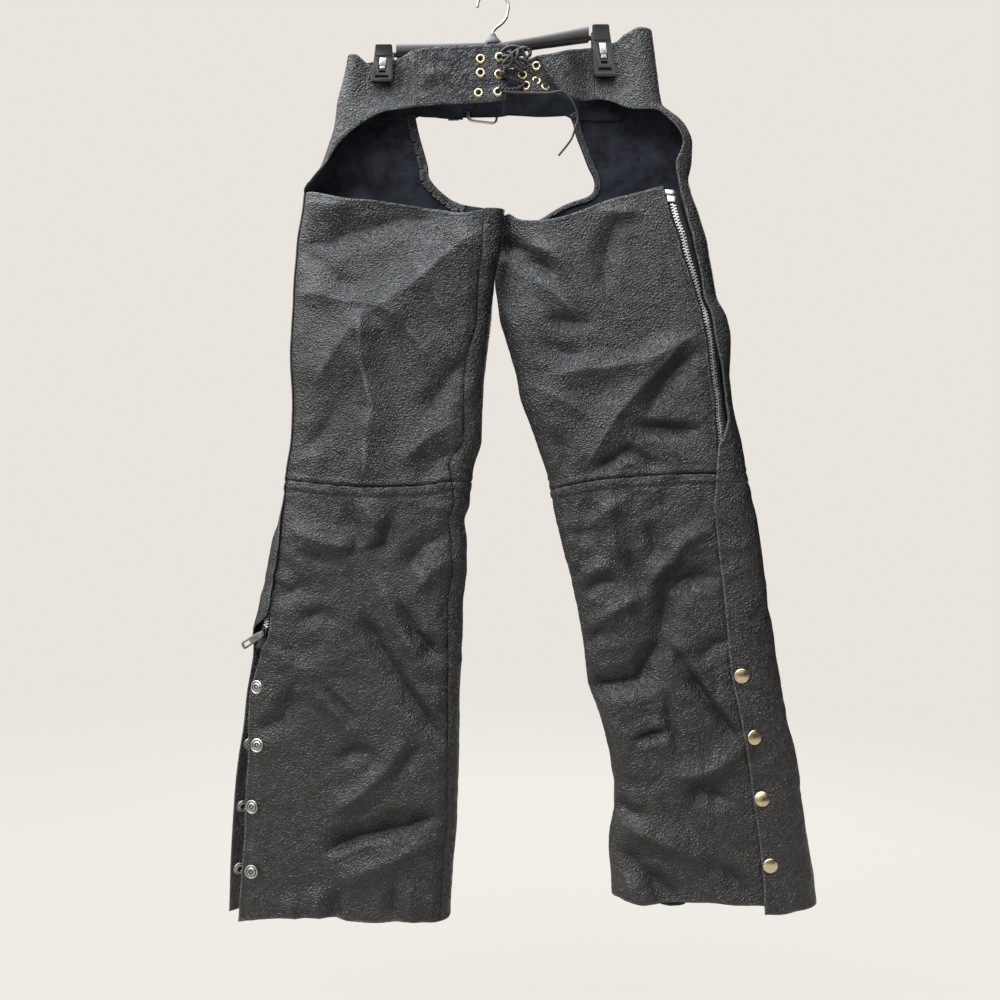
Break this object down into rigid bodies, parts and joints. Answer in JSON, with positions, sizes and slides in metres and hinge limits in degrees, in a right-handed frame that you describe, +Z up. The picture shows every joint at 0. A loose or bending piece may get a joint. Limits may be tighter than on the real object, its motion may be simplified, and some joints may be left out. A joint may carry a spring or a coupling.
{
  "type": "leather chaps on a clip hanger",
  "caption": "Black leather chaps with a laced waist, side zips and snapped cuffs, hung by the waist from a trouser hanger.",
  "frame": {"origin": "the top of the inside of the hanger's hook, where it rests on a rod", "axes": "+Z up, +X to the right of someone who looks at the back of the chaps, +Y from the back of the chaps, which is nearest the camera, to their front"},
  "size_m": [0.7066, 0.0676, 1.1093],
  "materials": {
    "black_leather": "pebbled cowhide with a soft sheen, matt suede on the inside",
    "suede": "matt napped flesh side",
    "zip_tape": "woven black tape",
    "lace": "thin black leather thong",
    "steel": "nickel plate, lightly worn",
    "brass": "polished brass, lightly tarnished",
    "black_plastic": "moulded charcoal plastic, semi-gloss"
  },
  "bodies": {
    "chaps": {"left_back_thigh": "black_leather", "left_back_shin": "black_leather", "left_front_thigh": "black_leather", "left_front_shin": "black_leather", "left_back_belt": "black_leather", "left_front_belt": "black_leather", "right_back_thigh": "black_leather", "right_back_shin": "black_leather", "right_front_thigh": "black_leather", "right_front_shin": "black_leather", "right_back_belt": "black_leather", "right_front_belt": "black_leather", "front_strap": "black_leather", "strap_keeper": "black_leather", "left_seat_facing": "suede", "right_seat_facing": "suede", "left_eyelet_1": "brass", "left_eyelet_2": "brass", "left_eyelet_3": "brass", "left_eyelet_4": "brass", "left_eyelet_5": "brass", "left_eyelet_6": "brass", "right_eyelet_1": "brass", "right_eyelet_2": "brass", "right_eyelet_3": "brass", "right_eyelet_4": "brass", "right_eyelet_5": "brass", "right_snap_cap_1": "brass", "left_snap_cap_1": "brass", "left_snap_stud_1": "steel", "left_snap_socket_1": "steel", "right_snap_cap_2": "brass", "left_snap_cap_2": "brass", "left_snap_stud_2": "steel", "left_snap_socket_2": "steel", "right_snap_cap_3": "brass", "left_snap_cap_3": "brass", "left_snap_stud_3": "steel", "left_snap_socket_3": "steel", "right_snap_cap_4": "brass", "left_snap_cap_4": "brass", "left_snap_stud_4": "steel", "left_snap_socket_4": "steel", "left_zip_tape": "zip_tape", "left_zip_chain": "steel", "left_zip_slider": "steel", "left_clip": "black_plastic", "left_clip_spring": "steel", "right_zip_tape": "zip_tape", "right_zip_chain": "steel", "right_zip_slider": "steel", "right_clip": "black_plastic", "right_clip_spring": "steel", "buckle": "steel", "lace_crossing": "lace", "lace_bow": "lace", "lace_end": "lace", "hanger_hook": "steel", "hanger_bar": "black_plastic"},
    "pull_tab": {"left_zip_pull": "steel"}
  },
  "joints": [
    {"name": "left_zip_pull_hinge", "type": "hinge", "parent": "chaps", "child": "pull_tab", "pos_m": [-0.27058, -0.01868, -0.76511], "axis": [-0.5725, 0.3554, 0.7389], "range_deg": [-20, 120]}
  ]
}
